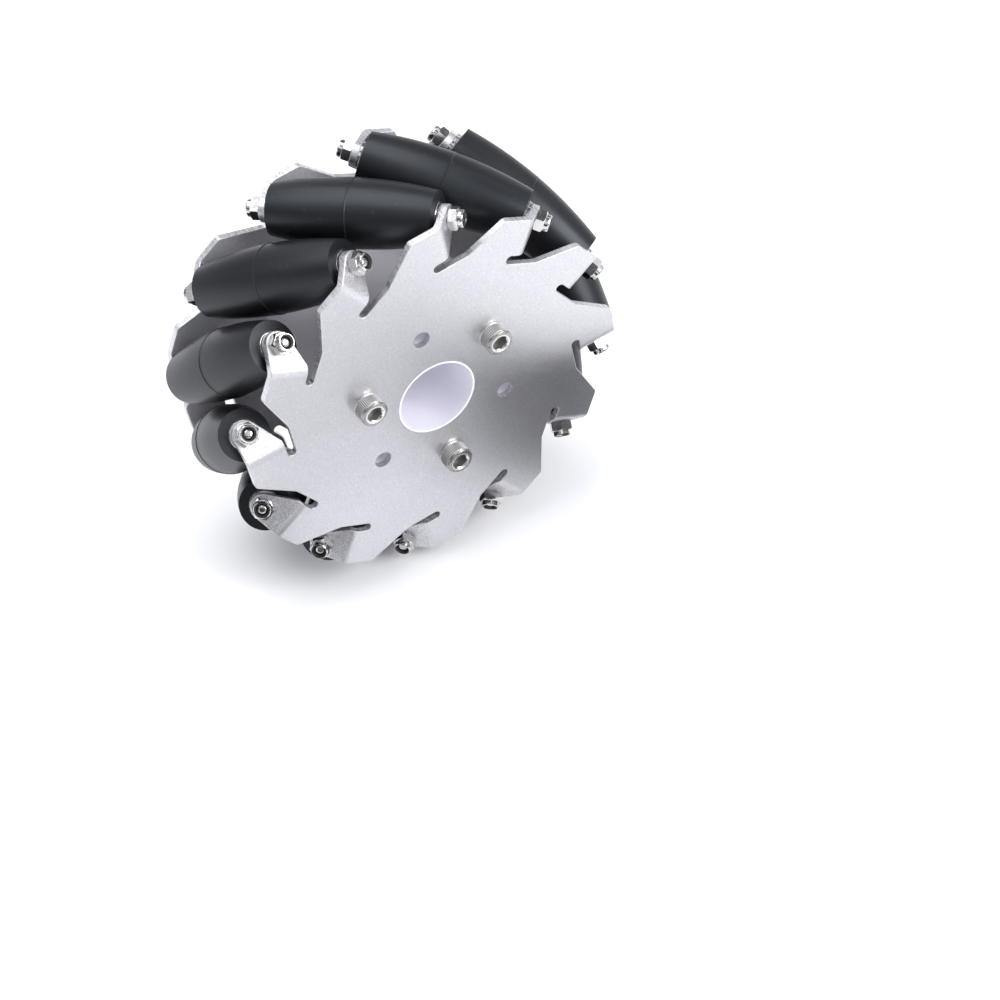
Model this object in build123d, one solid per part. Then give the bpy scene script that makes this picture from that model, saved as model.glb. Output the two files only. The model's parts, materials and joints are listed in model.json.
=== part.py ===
from build123d import *
import os
from math import asin, atan2, cos, hypot, pi, radians, sin, sqrt, tan

os.makedirs("parts", exist_ok=True)

# A twelve-roller mecanum wheel. Lengths are in millimetres and angles in degrees.
# Row frame: the wheel turns about Y, its front plate faces -Y, +Z is up, and the origin is the
# middle of the hub bore.
# Wheel frame, used to build every piece: Z points out of the front plate, Y runs out along the
# radius through the middle of roller 1, and X runs clockwise along the rim, seen from the front.

# Driving dimensions: wheel and rollers.
WHEEL_RADIUS = 75.8
ROLLER_COUNT = 12
ROLLER_AXIS_RADIUS = 64.2
FIRST_ROLLER_ANGLE = 11.04
ROLLER_HALF_LENGTH = 28.1
ROLLER_CORE_RADIUS = 5.5
SEAM_HEIGHT = 0.2
SEAM_HALF_WIDTH = 0.3

# Side plates, over their outer faces, and the fingers that are folded in to carry the rollers.
WIDTH_OVER_PLATES = 58.9
PLATE_THICKNESS = 2.5
BEND_OUTER_RADIUS = 4.3
BEND_LINE_X = 15.7
FINGER_TOP = 68.8
FINGER_SHOULDER_X = 4.8
FINGER_ROOT_X = -6.2
SLOT_BOTTOM = 51.8
SLOT_WIDTH = 3.1
SLOT_CENTRE_X = 11.8
SHOULDER_ROUNDING = 2.0
ROOT_ROUNDING = 1.2
EDGE_ROUNDING = 0.3
FINGER_SPARE = 3.0
EAR_RADIUS = 4.6
EAR_HOLE_RADIUS = 2.15

# Hub and its fasteners: M6 socket-head screws, with washers and lock nuts behind the back plate.
PLATE_BORE_RADIUS = 14.7
HUB_RADIUS = 35.0
HUB_SLEEVE_RADIUS = 14.55
HUB_BORE_RADIUS = 13.9
BOLT_CIRCLE_RADIUS = 28.1
COUPLING_HOLE_RADIUS = 3.1
SCREW_HOLE_RADIUS = 3.3
SCREW_COUNT = 3
SCREW_RADIUS = 2.9
SCREW_LENGTH = 70.0
SCREW_HEAD_RADIUS = 5.0
SCREW_HEAD_HEIGHT = 6.0
SCREW_SOCKET_ACROSS = 5.0
SCREW_SOCKET_DEPTH = 3.0
KNURL_TEETH = 48
KNURL_DEPTH = 0.15
WASHER_RADIUS = 6.0
WASHER_THICKNESS = 1.6

# Roller axles: M4 studs with a lock nut on each end.
AXLE_RADIUS = 2.0
AXLE_HALF_LENGTH = 36.3
AXLE_END_ROUNDING = 1.3
BUSH_BORE_RADIUS = 2.05
BUSH_SLEEVE_RADIUS = 3.0
BUSH_SLEEVE_LENGTH = 8.0
BUSH_FLANGE_RADIUS = 5.1
BUSH_FLANGE_THICKNESS = 0.7
BUSH_PROUD = 0.6
THRUST_WASHER_RADIUS = 4.8
THRUST_WASHER_THICKNESS = 0.6
AXLE_NUT_ACROSS = 7.0
AXLE_NUT_HEIGHT = 5.0
HUB_NUT_ACROSS = 10.0
HUB_NUT_HEIGHT = 6.0
NUT_COLLAR_WALL = 0.42

GAP = 0.02
STEP_ANGLE = 360 / ROLLER_COUNT
HALF_WIDTH = WIDTH_OVER_PLATES / 2
TILT = radians(45)
SLOT_TOP = SLOT_BOTTOM + SLOT_WIDTH
BEND_START_X = BEND_LINE_X - BEND_OUTER_RADIUS * tan(TILT / 2)
# Along a roller's axis, the outer face of the ear that carries it.
EAR_FACE = (BEND_LINE_X + HALF_WIDTH) * sin(TILT)
EAR_BACK = EAR_FACE - PLATE_THICKNESS
EAR_LENGTH = hypot(EAR_FACE * sin(TILT) - BEND_LINE_X, HALF_WIDTH - EAR_FACE * cos(TILT))
EAR_START = BEND_OUTER_RADIUS * tan(TILT / 2) - EAR_LENGTH

WHEEL_FRAME = Plane.XZ * Rot(0, 0, FIRST_ROLLER_ANGLE - 90)
ROLLER_FRAME = Plane(origin=(0, ROLLER_AXIS_RADIUS, 0), x_dir=(0, 1, 0), z_dir=(1, 0, 1))
TURN_OVER = Rot(0, 180, 0)


def around(index):
    return Rot(0, 0, index * STEP_ANGLE)


def at_roller(index, piece):
    return around(index) * (ROLLER_FRAME * piece)


def both_ends(piece):
    return [piece, TURN_OVER * piece]


def write(name, solids):
    placed = [WHEEL_FRAME * solid for solid in solids]
    shape = placed[0] if len(placed) == 1 else Compound(children=placed)
    export_step(shape, f"parts/{name}.step")


def ring(outer, inner, low, high):
    span = high - low
    tube = Cylinder(outer, span) - Cylinder(inner, span + 2)
    return Pos(0, 0, (low + high) / 2) * tube


def turned(points):
    # A solid of revolution about Z from (radius, height) points.
    profile = make_face(Polyline(*[(radius, 0, height) for radius, height in points], close=True))
    return revolve(profile, Axis.Z)


# Side plates.

def finger_outline(end_x):
    # One finger of the flat blank, from the root of its own slot to the root of the next.
    slot_middle = (SLOT_BOTTOM + SLOT_TOP) / 2
    start = Vector(SLOT_CENTRE_X, SLOT_BOTTOM)
    next_start = start.rotate(Axis.Z, STEP_ANGLE)
    slope = tan(radians(STEP_ANGLE))
    root = (FINGER_ROOT_X, next_start.Y + (FINGER_ROOT_X - next_start.X) * slope)
    slot_end = ThreePointArc(
        start, (SLOT_CENTRE_X - SLOT_WIDTH / 2, slot_middle), (SLOT_CENTRE_X, SLOT_TOP)
    )
    edge = Polyline(
        (SLOT_CENTRE_X, SLOT_TOP),
        (end_x, SLOT_TOP),
        (end_x, FINGER_TOP),
        (FINGER_SHOULDER_X, FINGER_TOP),
        root,
        next_start,
    )
    return [slot_end, *edge.edges()], hypot(*root)


def corners_at(face, radius):
    return [v for v in face.vertices() if abs(hypot(v.X, v.Y) - radius) < 0.05]


def flat_blank():
    # The blank's fingers run past the bend, so that their rounded edges can be cut square there.
    edges = []
    for index in range(ROLLER_COUNT):
        finger, root_radius = finger_outline(BEND_START_X + FINGER_SPARE)
        edges += [around(index) * edge for edge in finger]
    face = Face(Wire(edges))
    face = fillet(corners_at(face, hypot(FINGER_SHOULDER_X, FINGER_TOP)), SHOULDER_ROUNDING)
    face = fillet(corners_at(face, root_radius), ROOT_ROUNDING)
    blank = extrude(Pos(0, 0, HALF_WIDTH - PLATE_THICKNESS) * face, PLATE_THICKNESS)
    top = blank.faces().sort_by(Axis.Z)[-1].outer_wire().edges()
    bottom = blank.faces().sort_by(Axis.Z)[0].outer_wire().edges()
    return fillet([*top, *bottom], EDGE_ROUNDING)


def past_bend():
    # The end of one finger, beyond the start of its bend. It stays clear of the next finger.
    corner = Pos(BEND_START_X, SLOT_TOP - SLOT_WIDTH / 2, HALF_WIDTH)
    height = FINGER_TOP - SLOT_TOP + SLOT_WIDTH
    return corner * Box(FINGER_SPARE * 2, height, 10, align=(Align.MIN, Align.MIN, Align.CENTER))


def ear_outline():
    # In the ear's own plane: X away from the bend, Y out along the radius, origin at the hole.
    low = SLOT_TOP - ROLLER_AXIS_RADIUS
    heel = (EAR_START + 0.5, low)
    slope = atan2(low, heel[0]) + pi - asin(EAR_RADIUS / hypot(*heel))
    touch = (EAR_RADIUS * sin(slope), -EAR_RADIUS * cos(slope))
    far = EAR_START - 5
    edge = Polyline(touch, heel, (far, low), (far, EAR_RADIUS), (0, EAR_RADIUS))
    tip = ThreePointArc((0, EAR_RADIUS), (EAR_RADIUS, 0), touch)
    return make_face([*edge.edges(), tip])


def ear():
    # The flat ear with its axle hole, cut square where the bend ends.
    blank = extrude(ear_outline(), -PLATE_THICKNESS)
    front = blank.faces().sort_by(Axis.Z)[-1].outer_wire().edges()
    back = blank.faces().sort_by(Axis.Z)[0].outer_wire().edges()
    blank = fillet([*front, *back], EDGE_ROUNDING)
    blank -= Cylinder(EAR_HOLE_RADIUS, 4 * PLATE_THICKNESS)
    blank &= Pos(EAR_START, 0, 0) * Box(50, 50, 50, align=(Align.MIN, Align.CENTER, Align.CENTER))
    centre = (EAR_FACE * sin(TILT), ROLLER_AXIS_RADIUS, EAR_FACE * cos(TILT))
    return Plane(origin=centre, x_dir=(1, 0, -1), z_dir=(1, 0, 1)) * blank


def bend():
    # A rounded strip of the plate turned through the tilt about the bend's axis.
    middle = (BEND_START_X, (SLOT_TOP + FINGER_TOP) / 2, HALF_WIDTH - PLATE_THICKNESS / 2)
    strip = RectangleRounded(FINGER_TOP - SLOT_TOP, PLATE_THICKNESS, EDGE_ROUNDING)
    axis = Axis((BEND_START_X, 0, HALF_WIDTH - BEND_OUTER_RADIUS), (0, 1, 0))
    return revolve(Plane(origin=middle, x_dir=(0, 1, 0), z_dir=(1, 0, 0)) * strip, axis, 45)


def side_plate():
    plate = flat_blank()
    for index in range(ROLLER_COUNT):
        plate -= around(index) * past_bend()
    folded = bend() + ear()
    plate += [around(index) * folded for index in range(ROLLER_COUNT)]
    return plate - Cylinder(PLATE_BORE_RADIUS, 4 * HALF_WIDTH)


def screw_spots():
    # Places evenly round the bolt circle, the first in line with the second roller.
    angles = [90 + STEP_ANGLE + index * 360 / SCREW_COUNT for index in range(SCREW_COUNT)]
    return [Rot(0, 0, angle) * Pos(BOLT_CIRCLE_RADIUS, 0, 0) for angle in angles]


def drilled(piece):
    # The screws' holes, and midway between them the open holes that a shaft coupling bolts to.
    for spot in screw_spots():
        piece -= spot * Cylinder(SCREW_HOLE_RADIUS, 4 * HALF_WIDTH)
        piece -= Rot(0, 0, 180 / SCREW_COUNT) * (spot * Cylinder(COUPLING_HOLE_RADIUS, 4 * HALF_WIDTH))
    return piece


# Hub and its fasteners.

def hub_spacer():
    inner_face = HALF_WIDTH - PLATE_THICKNESS
    hub = turned(
        [
            (HUB_BORE_RADIUS, -HALF_WIDTH),
            (HUB_SLEEVE_RADIUS, -HALF_WIDTH),
            (HUB_SLEEVE_RADIUS, -inner_face),
            (HUB_RADIUS, -inner_face),
            (HUB_RADIUS, inner_face),
            (HUB_SLEEVE_RADIUS, inner_face),
            (HUB_SLEEVE_RADIUS, HALF_WIDTH),
            (HUB_BORE_RADIUS, HALF_WIDTH),
        ]
    )
    return drilled(hub)


def knurled_band(low, high):
    points = []
    for index in range(2 * KNURL_TEETH):
        radius = SCREW_HEAD_RADIUS - KNURL_DEPTH * (index % 2)
        angle = pi * index / KNURL_TEETH
        points.append((radius * cos(angle), radius * sin(angle), low))
    return extrude(make_face(Polyline(*points, close=True)), high - low, dir=(0, 0, 1))


def hub_screw():
    # The head's underside is at Z = 0 and its shank runs down.
    plain = SCREW_HEAD_RADIUS - KNURL_DEPTH
    top = SCREW_HEAD_HEIGHT
    body = turned(
        [
            (0, -SCREW_LENGTH),
            (SCREW_RADIUS - 0.5, -SCREW_LENGTH),
            (SCREW_RADIUS, -SCREW_LENGTH + 0.5),
            (SCREW_RADIUS, 0),
            (plain - 0.25, 0),
            (plain, 0.25),
            (plain, top - 0.75),
            (plain - 0.08, top - 0.52),
            (plain - 0.29, top - 0.24),
            (plain - 0.58, top - 0.05),
            (plain - 0.72, top),
            (0, top),
        ]
    )
    socket = RegularPolygon(SCREW_SOCKET_ACROSS / 2, 6, major_radius=False)
    screw = body + knurled_band(1.1, top - 1.0)
    screw -= extrude(Pos(0, 0, top - SCREW_SOCKET_DEPTH) * socket, SCREW_SOCKET_DEPTH + 1)
    mouth = Cone(SCREW_SOCKET_ACROSS / 2, SCREW_SOCKET_ACROSS / 2 + 0.6, 0.6)
    return screw - Pos(0, 0, top - 0.3) * mouth


def lock_nut(across, height, bore):
    # A hexagon with a round collar that holds the nylon ring. Its seat is at Z = 0.
    flat = across / 2
    corner = flat / cos(radians(30))
    hex_height = 0.66 * height
    collar = 0.87 * flat
    hexagon = extrude(RegularPolygon(flat, 6, major_radius=False), hex_height)
    shaver = turned(
        [
            (0, 0),
            (flat - 0.1, 0),
            (corner, 0.45),
            (corner, hex_height - 0.45),
            (flat - 0.1, hex_height),
            (0, hex_height),
        ]
    )
    recess = collar - NUT_COLLAR_WALL
    cap = turned(
        [
            (bore, hex_height / 2),
            (collar, hex_height / 2),
            (collar, height - 0.55),
            (collar - 0.12, height - 0.22),
            (collar - 0.34, height),
            (recess - 0.1, height),
            (recess, height - 0.3),
            (recess, height - 1.4),
            (bore, height - 1.4),
        ]
    )
    nut = (hexagon & shaver) - Cylinder(bore, 4 * height)
    return nut + cap


def lock_ring(across, height, bore):
    collar = 0.87 * across / 2
    return ring(collar - NUT_COLLAR_WALL - GAP, bore, height - 1.4, height - 0.55)


# Rollers and their axles, built along Z about the roller's middle.

def roller_surface(start, end, samples):
    # The curve that keeps every roller inside the wheel's circle: each point of the roller's axis
    # reaches straight out from the wheel's axis to the wheel's radius.
    points = []
    for index in range(samples + 1):
        along = start + (end - start) * index / samples
        sideways = along * sin(TILT)
        reach = WHEEL_RADIUS - hypot(ROLLER_AXIS_RADIUS, sideways)
        lean = sin(atan2(sideways, ROLLER_AXIS_RADIUS)) * cos(TILT)
        points.append((reach * sqrt(1 - lean * lean), 0, along + reach * lean))
    return points


def axis_point_under(height):
    # The axis point whose surface point lies at this height.
    along = height
    for _ in range(30):
        along -= roller_surface(along, along, 1)[0][2] - height
    return along


def roller_tyre():
    end = axis_point_under(ROLLER_HALF_LENGTH)
    seam = axis_point_under(SEAM_HALF_WIDTH)
    lower = Spline(*roller_surface(-end, -seam, 6))
    upper = Spline(*roller_surface(seam, end, 6))
    peak = WHEEL_RADIUS - ROLLER_AXIS_RADIUS + SEAM_HEIGHT
    bore = ROLLER_CORE_RADIUS + GAP
    ridge = Polyline(lower @ 1, (peak, 0, -0.1), (peak, 0, 0.1), upper @ 0)
    inside = Polyline(
        upper @ 1, (bore, 0, ROLLER_HALF_LENGTH), (bore, 0, -ROLLER_HALF_LENGTH), lower @ 0
    )
    profile = make_face([lower, *ridge.edges(), upper, *inside.edges()])
    return revolve(profile, Axis.Z)


def roller_core():
    seat = ROLLER_HALF_LENGTH - BUSH_FLANGE_THICKNESS + BUSH_PROUD - GAP
    return ring(ROLLER_CORE_RADIUS, BUSH_SLEEVE_RADIUS + GAP, -seat, seat)


def roller_bush():
    face = ROLLER_HALF_LENGTH + BUSH_PROUD
    return turned(
        [
            (BUSH_BORE_RADIUS, face - BUSH_SLEEVE_LENGTH),
            (BUSH_SLEEVE_RADIUS, face - BUSH_SLEEVE_LENGTH),
            (BUSH_SLEEVE_RADIUS, face - BUSH_FLANGE_THICKNESS),
            (BUSH_FLANGE_RADIUS, face - BUSH_FLANGE_THICKNESS),
            (BUSH_FLANGE_RADIUS, face - 0.15),
            (BUSH_FLANGE_RADIUS - 0.15, face),
            (BUSH_BORE_RADIUS, face),
        ]
    )


def roller_axle():
    rod = Cylinder(AXLE_RADIUS, 2 * AXLE_HALF_LENGTH)
    return fillet(rod.edges().filter_by(GeomType.CIRCLE), AXLE_END_ROUNDING)


def thrust_washer():
    low = EAR_BACK - THRUST_WASHER_THICKNESS
    return ring(THRUST_WASHER_RADIUS, AXLE_RADIUS + 0.1, low, EAR_BACK)


def build():
    plate = side_plate()
    write("front_plate", [drilled(plate)])
    write("back_plate", [drilled(TURN_OVER * plate)])
    write("hub_spacer", [hub_spacer()])

    spots = screw_spots()
    head_seat = Pos(0, 0, HALF_WIDTH)
    washer = ring(WASHER_RADIUS, SCREW_RADIUS + 0.4, HALF_WIDTH, HALF_WIDTH + WASHER_THICKNESS)
    washer_face = TURN_OVER * Pos(0, 0, HALF_WIDTH + WASHER_THICKNESS)
    hub_nut = lock_nut(HUB_NUT_ACROSS, HUB_NUT_HEIGHT, SCREW_RADIUS + GAP)
    hub_nut_ring = lock_ring(HUB_NUT_ACROSS, HUB_NUT_HEIGHT, SCREW_RADIUS + GAP)
    write("hub_screws", [spot * head_seat * hub_screw() for spot in spots])
    write("hub_washers", [spot * TURN_OVER * washer for spot in spots])
    write("hub_nuts", [spot * washer_face * hub_nut for spot in spots])

    nut_seat = Pos(0, 0, EAR_FACE)
    front_nut = nut_seat * lock_nut(AXLE_NUT_ACROSS, AXLE_NUT_HEIGHT, AXLE_RADIUS + GAP)
    back_nut = TURN_OVER * front_nut
    axle_nut_ring = nut_seat * lock_ring(AXLE_NUT_ACROSS, AXLE_NUT_HEIGHT, AXLE_RADIUS + GAP)
    rollers = range(ROLLER_COUNT)
    write("front_axle_nuts", [at_roller(index, front_nut) for index in rollers])
    write("back_axle_nuts", [at_roller(index, back_nut) for index in rollers])
    rings = [at_roller(index, r) for index in rollers for r in both_ends(axle_nut_ring)]
    rings += [spot * washer_face * hub_nut_ring for spot in spots]
    write("nut_lock_rings", rings)
    washers = both_ends(thrust_washer())
    write("thrust_washers", [at_roller(index, w) for index in rollers for w in washers])

    tyre = roller_tyre()
    core = roller_core()
    bushes = both_ends(roller_bush())
    axle = roller_axle()
    for index in rollers:
        number = f"{index + 1:02d}"
        write(f"roller_axle_{number}", [at_roller(index, axle)])
        write(f"roller_{number}_tyre", [at_roller(index, tyre)])
        write(f"roller_{number}_core", [at_roller(index, core)])
        write(f"roller_{number}_bushes", [at_roller(index, bush) for bush in bushes])


build()
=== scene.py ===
import json
import math

import bmesh
import bpy
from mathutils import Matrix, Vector


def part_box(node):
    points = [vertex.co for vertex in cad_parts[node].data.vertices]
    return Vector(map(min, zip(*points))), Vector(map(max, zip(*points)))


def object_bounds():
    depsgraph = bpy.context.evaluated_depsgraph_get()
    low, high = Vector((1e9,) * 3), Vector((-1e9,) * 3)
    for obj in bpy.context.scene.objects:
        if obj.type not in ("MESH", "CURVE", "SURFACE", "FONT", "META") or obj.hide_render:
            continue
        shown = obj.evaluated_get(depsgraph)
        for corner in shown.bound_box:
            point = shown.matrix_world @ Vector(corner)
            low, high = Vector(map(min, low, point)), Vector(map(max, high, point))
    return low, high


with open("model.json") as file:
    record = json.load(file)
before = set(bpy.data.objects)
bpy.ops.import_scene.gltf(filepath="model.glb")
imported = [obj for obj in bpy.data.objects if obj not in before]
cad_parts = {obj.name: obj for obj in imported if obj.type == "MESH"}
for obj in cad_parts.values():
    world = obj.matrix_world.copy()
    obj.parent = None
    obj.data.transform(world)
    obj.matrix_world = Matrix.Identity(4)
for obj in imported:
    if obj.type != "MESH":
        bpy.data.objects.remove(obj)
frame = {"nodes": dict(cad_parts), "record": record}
cad_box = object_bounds()

# A twelve-roller mecanum wheel in a pale studio. Lengths are in metres, in the row frame: the wheel
# turns about Y, its front plate faces -Y, and +Z is up. What the frame holds is read from it.
FLOOR_Z = cad_box[0].z
FRONT_FACE_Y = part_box("front_plate")[0].y
PLATE_THICKNESS = 0.0025
INNER_FACE_Y = -FRONT_FACE_Y - PLATE_THICKNESS
FACE_TOLERANCE = 0.0001

# Hub screws: three on the circle of the coupling's bolts, a third of a turn apart.
MOUNTS = {mount["name"]: mount for mount in frame["record"]["mounts"]}
BOLT_CIRCLE_RADIUS = MOUNTS["coupling_bolts"]["dims"]["pcd_mm"] / 1000 / 2
SCREW_COUNT = 3
FIRST_SCREW_ANGLE = 41.04
SCREW_HEAD_RADIUS = 0.0050
SCREW_HEAD_HEIGHT = 0.0060
SCREW_FACE_Y = FRONT_FACE_Y - SCREW_HEAD_HEIGHT
SCREW_SOCKET_RADIUS = 0.0030
SOCKET_SHADE_DEPTH = 0.0012
SOCKET_LIP_WIDTH = 0.0003
KNURL_DEPTH = 0.00015
KNURL_ABOVE_PLATE = 0.0011
KNURL_BELOW_FACE = 0.0010
CHAMFER_HEIGHT = 0.0009

# Camera, in degrees and metres. The last two are where the wheel's centre shows in the view.
CAMERA_AZIMUTH = -31.15
CAMERA_ELEVATION = 44.26
CAMERA_DEPTH = 0.9946
CAMERA_LENS = 105.5
SENSOR_WIDTH = 36
WHEEL_LEFT_OF_VIEW = 0.0362
WHEEL_ABOVE_VIEW = 0.0519

# Studio. Strengths are the world's, and the panels start where a direction's Z passes PANEL_START.
FLOOR_RADIUS = 6.0
FLOOR_GAP = 0.0002
WALL_COLOUR = (0.915, 0.925, 0.99)
WALL_STRENGTH = 0.68
PANEL_STRENGTH = 1.22
PANEL_GAP_STRENGTH = 0.12
PANEL_SCALE = 4.5
PANEL_START = (0.14, 0.26)
PANEL_EDGE = (0.44, 0.56)
WHEEL_CENTRE = (0, 0, 0)

# Soft boxes: name, size, watts, place.
SOFT_BOXES = (
    ("top_box", (1.4, 1.4), 17, (-0.30, 0.40, 1.45)),
    ("key_box", (1.1, 0.8), 17, (0.70, -1.05, 0.95)),
)

# Drums that only reflections see: name, place on the floor, radius, height.
REFLECTION_DRUMS = (
    ("right_drum", (0.080, -0.094), 0.055, 0.062),
    ("front_drum", (-0.035, -0.160), 0.045, 0.050),
    ("left_drum", (-0.085, -0.080), 0.036, 0.040),
)
FLAG_SIZE = (0.8, 0.5, 1)
FLAG_PLACE = (-0.70, -0.95, 0.36)


# Node trees.

class Nodes:
    """A node tree, with short calls for the nodes that patterns need. Scales are per metre."""

    def __init__(self, tree, coordinate):
        self.tree = tree
        self.place = self.add("ShaderNodeTexCoord").outputs[coordinate]

    def add(self, kind):
        return self.tree.nodes.new(kind)

    def feed(self, value, socket):
        if isinstance(value, tuple):
            socket.default_value = (*value, 1)
        elif isinstance(value, (int, float)):
            socket.default_value = value
        else:
            self.tree.links.new(value, socket)

    def noise(self, scale, detail=2.0, roughness=0.5, place=None):
        node = self.add("ShaderNodeTexNoise")
        node.inputs["Scale"].default_value = scale
        node.inputs["Detail"].default_value = detail
        node.inputs["Roughness"].default_value = roughness
        self.feed(place or self.place, node.inputs["Vector"])
        return node.outputs["Fac"]

    def cells(self, scale):
        node = self.add("ShaderNodeTexVoronoi")
        node.inputs["Scale"].default_value = scale
        self.feed(self.place, node.inputs["Vector"])
        return node.outputs["Color"]

    def stretch(self, scale):
        node = self.add("ShaderNodeMapping")
        node.inputs["Scale"].default_value = scale
        self.feed(self.place, node.inputs["Vector"])
        return node.outputs["Vector"]

    def spread(self, value, low, high, to_low=0.0, to_high=1.0):
        node = self.add("ShaderNodeMapRange")
        self.feed(value, node.inputs["Value"])
        self.feed(low, node.inputs["From Min"])
        self.feed(high, node.inputs["From Max"])
        self.feed(to_low, node.inputs["To Min"])
        self.feed(to_high, node.inputs["To Max"])
        return node.outputs["Result"]

    def math(self, operation, first, second=0):
        node = self.add("ShaderNodeMath")
        node.operation = operation
        self.feed(first, node.inputs[0])
        self.feed(second, node.inputs[1])
        return node.outputs["Value"]

    def distance(self, source, point):
        node = self.add("ShaderNodeVectorMath")
        node.operation = "DISTANCE"
        node.inputs[1].default_value = point
        self.feed(source, node.inputs[0])
        return node.outputs["Value"]

    def along(self, axis, source=None):
        node = self.add("ShaderNodeSeparateXYZ")
        self.feed(source or self.place, node.inputs["Vector"])
        return node.outputs[axis]

    def mix(self, share, first, second):
        return self.blend(share, first, second, "RGBA")

    def blend(self, share, first, second, kind="VALUE"):
        node = self.add("ShaderNodeMix")
        if kind == "RGBA":
            node.data_type = kind
        sockets = {socket.name: socket for socket in node.inputs if socket.type == kind}
        self.feed(share, node.inputs["Factor"])
        self.feed(first, sockets["A"])
        self.feed(second, sockets["B"])
        return [socket for socket in node.outputs if socket.type == kind][0]


class Finish(Nodes):
    """A new material. Its patterns are laid out in object coordinates, so they turn with the piece."""

    def __init__(self, name):
        self.material = bpy.data.materials.new(name)
        self.material.use_nodes = True
        super().__init__(self.material.node_tree, "Object")
        self.shader = self.tree.nodes["Principled BSDF"]

    def set(self, name, value):
        self.feed(value, self.shader.inputs[name])

    def glow(self, colour, strength):
        self.set("Emission Color", colour)
        self.set("Emission Strength", strength)

    def bump(self, height, strength, distance):
        node = self.add("ShaderNodeBump")
        node.inputs["Strength"].default_value = strength
        node.inputs["Distance"].default_value = distance
        self.feed(height, node.inputs["Height"])
        previous = self.shader.inputs["Normal"].links
        if previous:
            self.feed(previous[0].from_socket, node.inputs["Normal"])
        self.set("Normal", node.outputs["Normal"])


# Camera, floor and lights.

def view_axes(azimuth, elevation):
    turn = math.radians(azimuth)
    tip = math.radians(elevation)
    forward = Vector((-math.sin(turn) * math.cos(tip), math.cos(turn) * math.cos(tip), -math.sin(tip)))
    right = Vector((math.cos(turn), math.sin(turn), 0))
    return forward, right, right.cross(forward)


def add_to_scene(name, data):
    thing = bpy.data.objects.new(name, data)
    bpy.context.scene.collection.objects.link(thing)
    return thing


def make_camera():
    forward, right, up = view_axes(CAMERA_AZIMUTH, CAMERA_ELEVATION)
    data = bpy.data.cameras.new("camera")
    data.lens = CAMERA_LENS
    data.sensor_width = SENSOR_WIDTH
    camera = add_to_scene("camera", data)
    aim = right * WHEEL_LEFT_OF_VIEW - up * WHEEL_ABOVE_VIEW
    camera.location = aim - forward * CAMERA_DEPTH
    camera.rotation_euler = forward.to_track_quat("-Z", "Y").to_euler()
    bpy.context.scene.camera = camera


def make_view():
    settings = bpy.context.scene.view_settings
    settings.view_transform = "Standard"
    settings.look = "None"


def add_mesh(name, bm):
    mesh = bpy.data.meshes.new(name)
    bm.to_mesh(mesh)
    bm.free()
    return add_to_scene(name, mesh)


def make_floor():
    bm = bmesh.new()
    bmesh.ops.create_circle(bm, cap_ends=True, segments=96, radius=FLOOR_RADIUS)
    floor = add_mesh("floor", bm)
    floor.location.z = FLOOR_Z - FLOOR_GAP
    floor.data.materials.append(pale_floor())


def soft_box(name, size, energy, place):
    data = bpy.data.lights.new(name, "AREA")
    data.shape = "RECTANGLE"
    data.size = size[0]
    data.size_y = size[1]
    data.energy = energy
    lamp = add_to_scene(name, data)
    lamp.location = place
    lamp.rotation_euler = (Vector(WHEEL_CENTRE) - Vector(place)).to_track_quat("-Z", "Y").to_euler()


def make_walls():
    # Plain pale walls. Higher up there are panels with dark gaps between them, as in a studio, for
    # the bright plating to reflect.
    world = bpy.data.worlds.new("studio")
    bpy.context.scene.world = world
    world.use_nodes = True
    nodes = Nodes(world.node_tree, "Generated")
    upward = nodes.spread(nodes.along("Z"), *PANEL_START)
    panels = nodes.spread(nodes.noise(PANEL_SCALE, 0.0), *PANEL_EDGE, PANEL_GAP_STRENGTH, PANEL_STRENGTH)
    background = world.node_tree.nodes["Background"]
    nodes.feed(WALL_COLOUR, background.inputs["Color"])
    nodes.feed(nodes.blend(upward, WALL_STRENGTH, panels), background.inputs["Strength"])


def only_in_reflections(piece):
    piece.visible_camera = False
    piece.visible_diffuse = False
    piece.visible_shadow = False


def reflection_drum(name, place, radius, height):
    # A dark drum with a pale, faintly glowing top that stands in front of the wheel; the glow is
    # painted light. It gives the bright plate the dark and light bands that a neighbouring object would.
    bm = bmesh.new()
    bmesh.ops.create_cone(bm, cap_ends=True, segments=64, radius1=radius, radius2=radius, depth=height)
    for face in bm.faces:
        face.material_index = 1 if face.normal.z > 0.5 else 0
    drum = add_mesh(name, bm)
    drum.location = (*place, FLOOR_Z + height / 2)
    drum.data.materials.append(dark_plastic("drum_cloth", (0.12, 0.12, 0.12), (0.16, 0.16, 0.16)))
    drum.data.materials.append(glowing_card())
    only_in_reflections(drum)


def reflection_flag():
    # A dark card in front of the wheel, on the left.
    bm = bmesh.new()
    bmesh.ops.create_grid(bm, x_segments=4, y_segments=4, size=0.5)
    flag = add_mesh("reflection_flag", bm)
    flag.scale = FLAG_SIZE
    flag.location = FLAG_PLACE
    flag.rotation_euler = (-flag.location).to_track_quat("Z", "Y").to_euler()
    flag.data.materials.append(dark_plastic("flag_cloth", (0.02, 0.02, 0.02), (0.04, 0.04, 0.04)))
    only_in_reflections(flag)


def make_studio():
    make_walls()
    for box in SOFT_BOXES:
        soft_box(*box)
    for drum in REFLECTION_DRUMS:
        reflection_drum(*drum)
    reflection_flag()
    make_floor()


# Materials of the studio.

def pale_floor():
    nodes = Finish("pale_floor")
    shade = nodes.noise(3.0, 3.0)
    nodes.set("Base Color", nodes.mix(shade, (0.94, 0.94, 0.95), (0.96, 0.96, 0.97)))
    nodes.set("Roughness", nodes.spread(shade, 0.3, 0.7, 0.55, 0.65))
    nodes.set("Specular IOR Level", 0.2)
    nodes.glow((0.93, 0.95, 1.0), 0.06)
    return nodes.material


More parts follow.
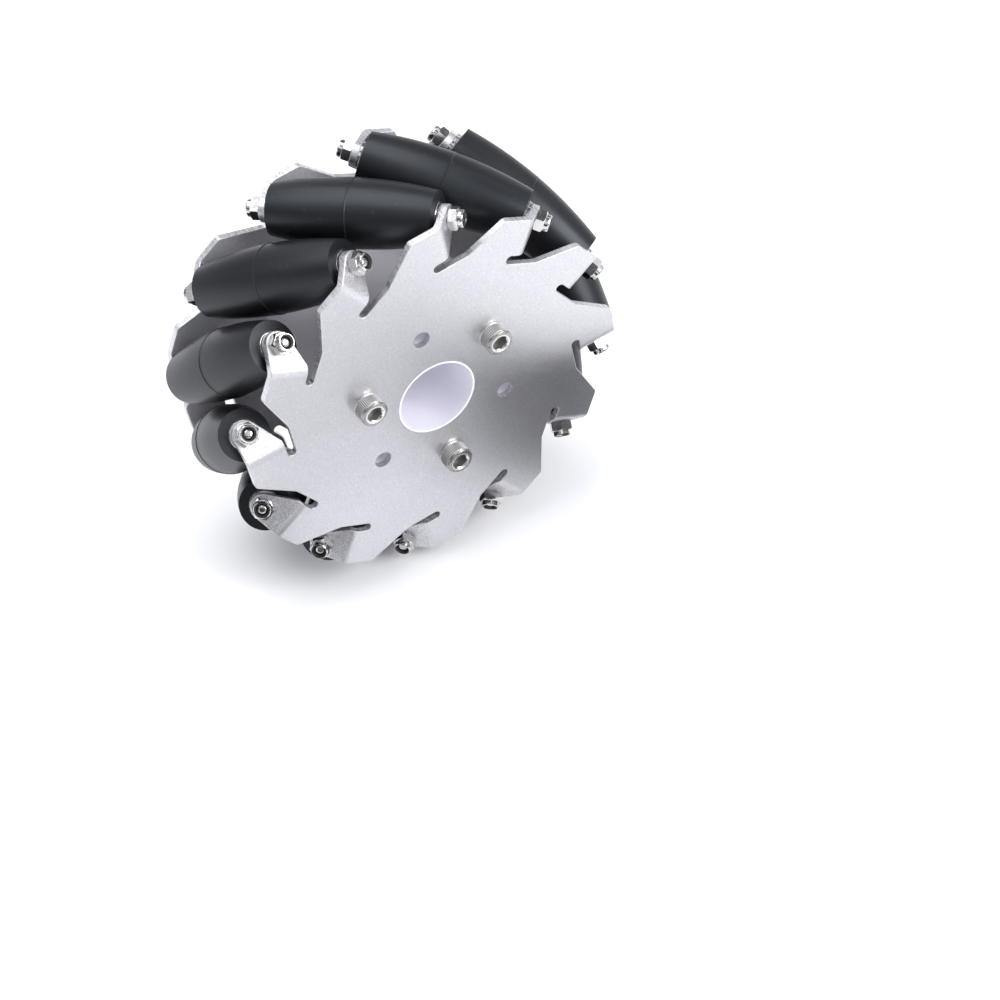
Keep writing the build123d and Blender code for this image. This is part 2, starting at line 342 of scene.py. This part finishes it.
def glowing_card():
    nodes = Finish("glowing_card")
    nodes.set("Base Color", nodes.mix(nodes.noise(20), (0.85, 0.85, 0.86), (0.9, 0.9, 0.9)))
    # Painted light: the card glows faintly, though it is no lamp.
    nodes.glow((1.0, 1.0, 1.0), 0.12)
    return nodes.material


# Materials of the wheel.

def steepness(nodes, low, high):
    # How far a surface turns away from the plates' faces: 1 where its normal's Y is under low, such
    # as on a cut edge, and 0 where it is over high.
    normal = nodes.add("ShaderNodeTexCoord").outputs["Normal"]
    across = nodes.math("ABSOLUTE", nodes.along("Y", normal))
    return nodes.spread(across, low, high, 1.0, 0.0)


def face_colour(nodes, ear):
    # Clouded grey with bright specks and dark pits. The bent ears have a coarser grain.
    face = nodes.mix(nodes.noise(28, 4.0), (0.585, 0.588, 0.610), (0.630, 0.633, 0.655))
    specks = nodes.spread(nodes.cells(2700), 0.68, 1.0)
    face = nodes.mix(specks, face, (0.76, 0.76, 0.78))
    pits = nodes.spread(nodes.noise(1500, 2.0, 0.8), 0.50, 0.80, 0.0, 0.6)
    face = nodes.mix(pits, face, (0.42, 0.42, 0.44))
    coarse = nodes.spread(nodes.noise(2300, 1.0, 0.8), 0.42, 0.60)
    return nodes.mix(ear, face, nodes.mix(coarse, (0.51, 0.51, 0.53), (0.78, 0.78, 0.80)))


def aluminium_shine(nodes, ear, cut):
    # The inner faces are duller than the outer ones, and the cut edges a little duller.
    depth = nodes.math("ABSOLUTE", nodes.along("Y"))
    inner = nodes.math("LESS_THAN", depth, INNER_FACE_Y + FACE_TOLERANCE)
    flat = nodes.spread(ear, 0, 1, 1.0, 0.0)
    faces = nodes.spread(nodes.math("MULTIPLY", flat, inner), 0, 1, 0.95, 0.30)
    return nodes.math("MINIMUM", faces, nodes.spread(cut, 0, 1, 1.0, 0.80))


def blasted_aluminium():
    # Fine blasted grain on the faces, and shear streaks across the cut edges.
    nodes = Finish("blasted_aluminium")
    cut = steepness(nodes, 0.25, 0.5)
    ear = steepness(nodes, 0.80, 0.90)
    streaks = nodes.noise(1500, 2.0, 0.6, nodes.stretch((1, 0.08, 1)))
    edge = nodes.mix(nodes.spread(streaks, 0.3, 0.7), (0.60, 0.60, 0.62), (0.78, 0.78, 0.80))
    nodes.set("Base Color", nodes.mix(cut, face_colour(nodes, ear), edge))
    rough_face = nodes.spread(nodes.cells(2200), 0.25, 0.75, 0.30, 0.47)
    rough_edge = nodes.spread(streaks, 0.3, 0.7, 0.22, 0.40)
    nodes.set("Roughness", nodes.blend(cut, rough_face, rough_edge))
    nodes.set("Metallic", aluminium_shine(nodes, ear, cut))
    nodes.bump(nodes.noise(2300, 3.0, 0.75), 0.9, 0.00010)
    nodes.bump(nodes.math("MULTIPLY", streaks, cut), 0.12, 0.00006)
    return nodes.material


def white_nylon():
    # Slightly translucent.
    nodes = Finish("white_nylon")
    nodes.set("Base Color", nodes.mix(nodes.noise(60, 3.0), (0.81, 0.80, 0.87), (0.86, 0.85, 0.91)))
    nodes.set("Roughness", nodes.spread(nodes.noise(900, 2.0), 0.3, 0.7, 0.36, 0.46))
    nodes.bump(nodes.noise(1500, 2.0), 0.1, 0.00005)
    nodes.set("Subsurface Weight", 0.25)
    nodes.shader.inputs["Subsurface Radius"].default_value = (1.0, 1.0, 1.0)
    nodes.set("Subsurface Scale", 0.0012)
    return nodes.material


def plated_steel(name, dark, light, rough_low, rough_high):
    nodes = Finish(name)
    marks = nodes.noise(700, 3.0, 0.6)
    nodes.set("Base Color", nodes.mix(marks, dark, light))
    nodes.set("Roughness", nodes.spread(marks, 0.3, 0.7, rough_low, rough_high))
    nodes.bump(nodes.noise(1800, 2.0), 0.08, 0.00005)
    nodes.set("Metallic", 1.0)
    return nodes.material


def screw_radius(nodes):
    # The distance from the nearest hub screw's own axis.
    flat = nodes.stretch((1, 0, 1))
    distances = []
    for index in range(SCREW_COUNT):
        turn = math.radians(FIRST_SCREW_ANGLE + 360 / SCREW_COUNT * index)
        centre = (BOLT_CIRCLE_RADIUS * math.cos(turn), 0, BOLT_CIRCLE_RADIUS * math.sin(turn))
        distances.append(nodes.distance(flat, centre))
    nearest = distances[0]
    for away in distances[1:]:
        nearest = nodes.math("MINIMUM", nearest, away)
    return nearest


def knurl_band(nodes):
    low = nodes.math("LESS_THAN", nodes.along("Y"), FRONT_FACE_Y - KNURL_ABOVE_PLATE)
    high = nodes.math("GREATER_THAN", nodes.along("Y"), SCREW_FACE_Y + KNURL_BELOW_FACE)
    return nodes.math("MULTIPLY", low, high)


def screw_colour(nodes, marks, band):
    # Nickel plate, with painted shade in the knurl's grooves, on the head's front outside the
    # socket's lip, and down in the socket.
    away = screw_radius(nodes)
    # Painted shade in the knurl's grooves, darkest at their bottoms.
    groove_shade = nodes.spread(away, SCREW_HEAD_RADIUS - KNURL_DEPTH, SCREW_HEAD_RADIUS, 1.0, 0.15)
    lip = SCREW_SOCKET_RADIUS + SOCKET_LIP_WIDTH
    # Painted shade on the head's front, outside the socket's lip.
    ring = nodes.spread(away, lip, lip + SOCKET_LIP_WIDTH)
    front = nodes.math("LESS_THAN", nodes.along("Y"), SCREW_FACE_Y + CHAMFER_HEIGHT)
    # Painted shade down in the socket, darker the deeper it goes.
    inside = nodes.math("LESS_THAN", away, SCREW_SOCKET_RADIUS)
    depth = nodes.spread(nodes.along("Y"), SCREW_FACE_Y, SCREW_FACE_Y + SOCKET_SHADE_DEPTH)
    body = nodes.mix(marks, (0.80, 0.79, 0.77), (0.90, 0.89, 0.87))
    body = nodes.mix(nodes.math("MULTIPLY", band, groove_shade), body, (0.20, 0.20, 0.19))
    body = nodes.mix(nodes.math("MULTIPLY", ring, front), body, (0.34, 0.335, 0.325))
    return nodes.mix(nodes.math("MULTIPLY", inside, depth), body, (0.36, 0.355, 0.34))


def screw_steel():
    nodes = Finish("screw_steel")
    marks = nodes.noise(900, 3.0, 0.6)
    band = knurl_band(nodes)
    nodes.set("Base Color", screw_colour(nodes, marks, band))
    smooth = nodes.spread(marks, 0.3, 0.7, 0.22, 0.32)
    knurled = nodes.spread(marks, 0.3, 0.7, 0.36, 0.44)
    nodes.set("Roughness", nodes.blend(band, smooth, knurled))
    nodes.bump(nodes.noise(1800, 2.0), 0.08, 0.00005)
    nodes.set("Metallic", 0.92)
    return nodes.material


def moulded_rubber():
    # Nearly black, with faint clouds, dust and a cool sheen.
    nodes = Finish("moulded_rubber")
    cloud = nodes.noise(45, 4.0)
    dust = nodes.spread(nodes.noise(520, 1.0), 0.70, 0.78)
    body = nodes.mix(cloud, (0.0040, 0.0044, 0.0052), (0.0060, 0.0066, 0.0078))
    nodes.set("Base Color", nodes.mix(dust, body, (0.016, 0.017, 0.020)))
    nodes.set("Roughness", nodes.spread(cloud, 0.3, 0.7, 0.34, 0.42))
    nodes.bump(nodes.noise(1700, 3.0, 0.6), 0.12, 0.00006)
    nodes.set("Specular IOR Level", 0.50)
    nodes.set("Specular Tint", (0.85, 0.92, 1.0))
    return nodes.material


def dark_plastic(name, dark, light):
    nodes = Finish(name)
    grain = nodes.noise(900, 2.0)
    nodes.set("Base Color", nodes.mix(grain, dark, light))
    nodes.set("Roughness", nodes.spread(grain, 0.3, 0.7, 0.4, 0.55))
    nodes.bump(grain, 0.1, 0.00005)
    return nodes.material


def make_finishes():
    return {
        "plate_aluminium": blasted_aluminium(),
        "hub_nylon": white_nylon(),
        "screw_steel": screw_steel(),
        "nut_plating": plated_steel("nut_plating", (0.58, 0.575, 0.56), (0.70, 0.695, 0.68), 0.07, 0.14),
        "axle_steel": plated_steel("axle_steel", (0.48, 0.475, 0.46), (0.60, 0.595, 0.58), 0.10, 0.18),
        "bush_steel": plated_steel("bush_steel", (0.52, 0.515, 0.51), (0.64, 0.635, 0.63), 0.16, 0.26),
        "lock_ring_nylon": dark_plastic("lock_ring_nylon", (0.02, 0.02, 0.02), (0.035, 0.035, 0.035)),
        "roller_core_plastic": dark_plastic("roller_core_plastic", (0.03, 0.03, 0.03), (0.05, 0.05, 0.05)),
        "roller_rubber": moulded_rubber(),
    }


def dress_cad_nodes():
    finishes = make_finishes()
    for part in frame["record"]["subparts"]:
        node = frame["nodes"][part["node"]]
        node.data.materials.clear()
        node.data.materials.append(finishes[part["material_slot"]])


make_view()
make_camera()
make_studio()
dress_cad_nodes()
